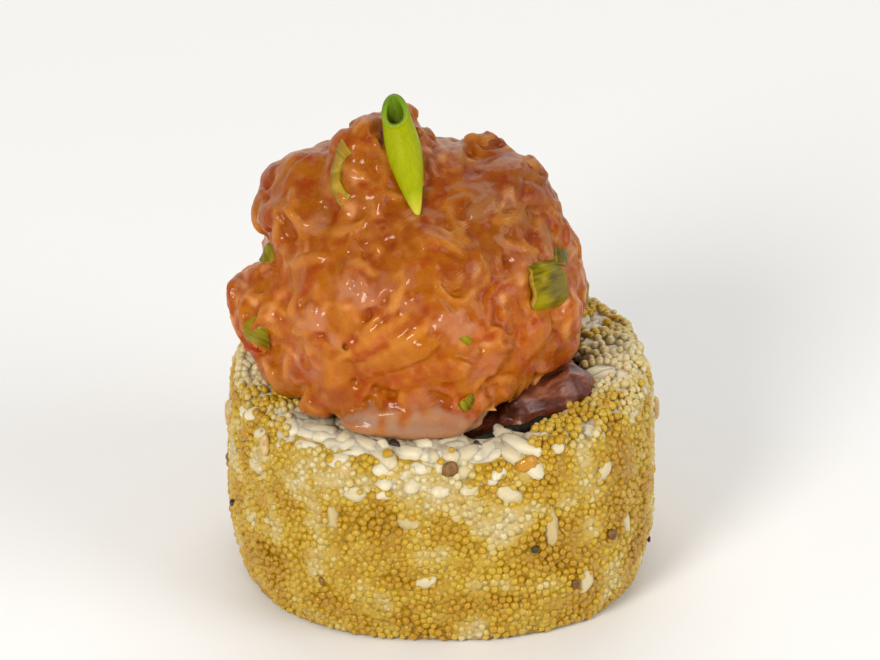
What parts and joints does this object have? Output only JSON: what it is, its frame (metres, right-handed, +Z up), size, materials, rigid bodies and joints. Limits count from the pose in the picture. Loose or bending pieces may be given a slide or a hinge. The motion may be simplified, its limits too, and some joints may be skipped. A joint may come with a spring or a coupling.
{
  "type": "spicy tuna roll piece",
  "caption": "Inside-out sushi roll piece coated in fish roe, standing on its cut face, topped with chopped spicy tuna and a scallion slice.",
  "frame": {"origin": "centre of the flat cut face that the piece stands on, under the middle of its bounding box", "axes": "+Z up, along the roll's axis; +X to the right; -Y to the front, the side that shows the filling"},
  "size_m": [0.0448, 0.0446, 0.0538],
  "materials": {
    "cooked_rice": "satin",
    "fish_roe": "satin",
    "nori_sheet": "satin",
    "raw_tuna": "gloss",
    "spicy_tuna": "gloss",
    "scallion": "satin"
  },
  "bodies": {
    "root": {"rice": "cooked_rice", "roe_coat": "fish_roe", "nori": "nori_sheet", "tuna_filling": "raw_tuna", "tartare_mound": "spicy_tuna", "scallion_slice": "scallion"}
  },
  "joints": []
}
